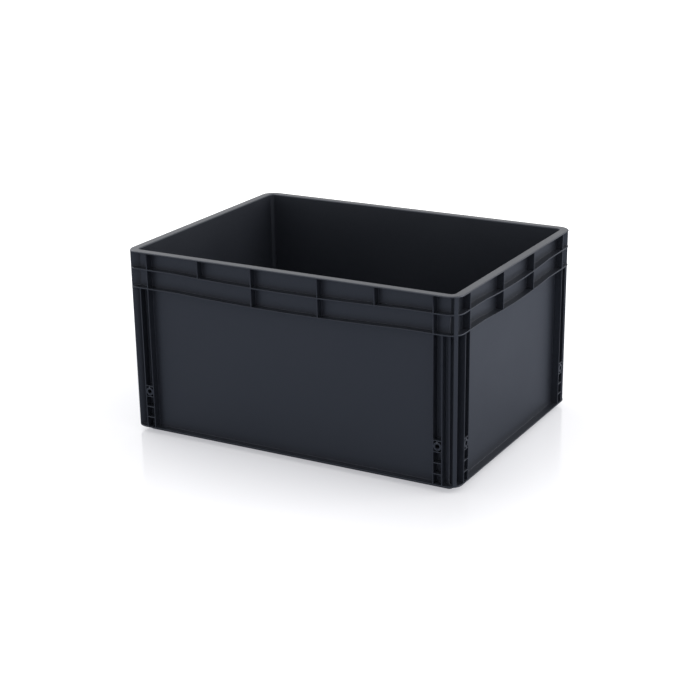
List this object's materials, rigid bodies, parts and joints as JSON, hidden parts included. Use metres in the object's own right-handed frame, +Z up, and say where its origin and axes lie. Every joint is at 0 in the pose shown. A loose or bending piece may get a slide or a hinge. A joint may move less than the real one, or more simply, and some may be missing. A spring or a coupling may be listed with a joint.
{
  "type": "stacking tote box",
  "caption": "Large open-topped stacking tote of black conductive plastic with a flat rim, a dipping band of ribs below it, channelled corners and a stepped stacking foot",
  "frame": {"origin": "middle of the footprint on the ground, under the box", "axes": "+X along the long sides, +Y across, +Z up out of the open top. The side at the left in the picture faces -Y and the side at the right faces +X"},
  "size_m": [0.8, 0.6, 0.42],
  "materials": {
    "conductive_plastic": "moulded, with a faint texture and a soft sheen"
  },
  "bodies": {
    "root": {"tote_box": "conductive_plastic"}
  },
  "joints": []
}
